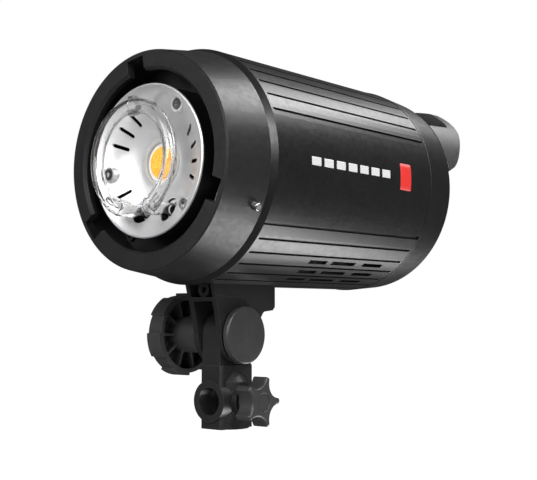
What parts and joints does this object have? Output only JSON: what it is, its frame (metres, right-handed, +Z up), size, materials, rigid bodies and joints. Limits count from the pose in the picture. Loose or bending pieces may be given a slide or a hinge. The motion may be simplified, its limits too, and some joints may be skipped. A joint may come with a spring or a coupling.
{
  "type": "monolight strobe",
  "caption": "Tubular studio flash head with a lugged accessory bayonet, ring flash tube, rear handle and controls, on a tilting stand adapter with clamp knobs.",
  "frame": {"origin": "centre of the mouth of the vertical stand socket, on its axis", "axes": "+Z up along the stand socket, +Y towards the back of the head (the flash fires along -Y), +X along the tilt pivot towards its cap and the star knob"},
  "size_m": [0.1356, 0.2697, 0.2178],
  "materials": {
    "housing_plastic": "fine satin black moulding",
    "ring_paint": "satin black powder coat",
    "inner_black": "matt black",
    "grip_plastic": "textured black nylon",
    "bracket_nylon": "glass-filled nylon",
    "dish_aluminium": "spun, satin",
    "flash_glass": "clear quartz",
    "lens_clear": "smoked",
    "lens_red": "translucent red",
    "led_yellow": "phosphor",
    "ceramic_white": "glazed ceramic",
    "holder_grey": "satin grey moulding",
    "raw_aluminium": "extruded",
    "steel": "zinc plated",
    "dark_steel": "black oxide",
    "dish_screw_steel": "bright zinc",
    "brass": "machined",
    "friction_fibre": "fibre",
    "button_grey": "satin grey",
    "button_red": "satin red",
    "board_green": "solder mask",
    "display_grey": "liquid crystal",
    "encoder_metal": "stamped",
    "capacitor_sleeve": "shrunk sleeve",
    "winding": "taped winding"
  },
  "bodies": {
    "stand_adapter": {"stand_block": "bracket_nylon", "friction_washers": "friction_fibre", "thread_insert": "brass"},
    "clamp_knob": {"clamp_screw": "steel", "star_knob": "grip_plastic", "star_knob_cap": "grip_plastic"},
    "clamp_pad": {"clamp_pad": "brass"},
    "tilt_knob": {"tilt_knob": "grip_plastic"},
    "thrust_washer": {"thrust_washer": "steel"},
    "release_pin": {"release_pin": "steel"},
    "lock_bolt": {"lock_bolt": "steel"},
    "mode_dial": {"mode_dial": "grip_plastic"},
    "lamp_button": {"lamp_button": "button_grey"},
    "sound_button": {"sound_button": "button_grey"},
    "cell_button": {"cell_button": "button_grey"},
    "test_button": {"test_button": "button_red"},
    "power_rocker": {"power_rocker": "grip_plastic"},
    "fuse_cap": {"fuse_cap": "grip_plastic"},
    "fan_rotor": {"fan_rotor": "inner_black"},
    "head": {"bayonet_ring": "ring_paint", "bracket_front_screw": "dark_steel", "bracket_screws": "dark_steel", "bulkhead_screws": "dark_steel", "capacitors": "capacitor_sleeve", "cell_sensor": "lens_red", "chassis": "raw_aluminium", "control_board": "board_green", "dial_encoder": "encoder_metal", "dish_screws": "dish_screw_steel", "display_module": "display_grey", "display_window": "lens_clear", "fan_frame": "inner_black", "flash_tube": "flash_glass", "front_bulkhead": "inner_black", "front_flange": "housing_plastic", "fuse_holder": "inner_black", "handle": "grip_plastic", "handle_screws": "dark_steel", "inlet_blades": "steel", "jack_nut": "steel", "led_board": "ceramic_white", "led_heatsink": "raw_aluminium", "led_holder": "holder_grey", "led_phosphor": "led_yellow", "lower_shell": "housing_plastic", "mains_inlet": "inner_black", "pivot_bolt": "steel", "pivot_cap": "grip_plastic", "power_board": "board_green", "rear_collar": "housing_plastic", "rear_panel": "housing_plastic", "reflector_cup": "inner_black", "reflector_dish": "dish_aluminium", "switch_frame": "inner_black", "sync_jack": "inner_black", "tilt_bracket": "bracket_nylon", "transformer": "winding", "tube_clip": "steel", "tube_sockets": "ceramic_white", "upper_shell": "housing_plastic"}
  },
  "joints": [
    {"name": "tilt", "type": "hinge", "parent": "stand_adapter", "child": "head", "pos_m": [0, 0, 0.054], "axis": [1, 0, 0], "range_deg": [-75, 75]},
    {"name": "clamp_turn", "type": "hinge", "parent": "stand_adapter", "child": "clamp_knob", "pos_m": [0.02, 0, 0.016], "axis": [1, 0, 0], "range_deg": [0, 360]},
    {"name": "pad_slide", "type": "slide", "parent": "stand_adapter", "child": "clamp_pad", "axis": [-1, 0, 0], "range_m": [0, 0.0013]},
    {"name": "tilt_lock_turn", "type": "hinge", "parent": "head", "child": "tilt_knob", "pos_m": [-0.03, 0, 0.054], "axis": [1, 0, 0], "range_deg": [0, 170]},
    {"name": "washer_slide", "type": "slide", "parent": "head", "child": "thrust_washer", "axis": [1, 0, 0], "range_m": [0, 0.0006]},
    {"name": "release_press", "type": "slide", "parent": "head", "child": "release_pin", "axis": [-0.91, 0, 0.4147], "range_m": [0, 0.003], "stiffness_N_per_m": 500, "springref_m": -0.002},
    {"name": "bolt_slide", "type": "slide", "parent": "head", "child": "lock_bolt", "axis": [0, 1, 0], "range_m": [0, 0.003]},
    {"name": "dial_turn", "type": "hinge", "parent": "head", "child": "mode_dial", "pos_m": [0, 0.148, 0.133], "axis": [0, 1, 0], "continuous": true},
    {"name": "rocker_tip", "type": "hinge", "parent": "head", "child": "power_rocker", "pos_m": [-0.031, 0.1432, 0.115], "axis": [0, 0, 1], "range_deg": [-7, 7]},
    {"name": "fuse_cap_turn", "type": "hinge", "parent": "head", "child": "fuse_cap", "pos_m": [0.037, 0.148, 0.119], "axis": [0, 1, 0], "range_deg": [0, 90]},
    {"name": "fan_spin", "type": "hinge", "parent": "head", "child": "fan_rotor", "pos_m": [0, -0.017, 0.15], "axis": [0, 1, 0], "continuous": true},
    {"name": "lamp_press", "type": "slide", "parent": "head", "child": "lamp_button", "axis": [0, -1, 0], "range_m": [0, 0.0008], "stiffness_N_per_m": 600},
    {"name": "sound_press", "type": "slide", "parent": "head", "child": "sound_button", "axis": [0, -1, 0], "range_m": [0, 0.0008], "stiffness_N_per_m": 600},
    {"name": "cell_press", "type": "slide", "parent": "head", "child": "cell_button", "axis": [0, -1, 0], "range_m": [0, 0.0008], "stiffness_N_per_m": 600},
    {"name": "test_press", "type": "slide", "parent": "head", "child": "test_button", "axis": [0, -1, 0], "range_m": [0, 0.0008], "stiffness_N_per_m": 600}
  ],
  "couplings": [
    {"joint": "pad_slide", "follows": "clamp_turn", "m_per_rad": 0.0002},
    {"joint": "washer_slide", "follows": "tilt_lock_turn", "m_per_rad": 0.0002},
    {"joint": "bolt_slide", "follows": "release_press", "ratio": 1}
  ]
}
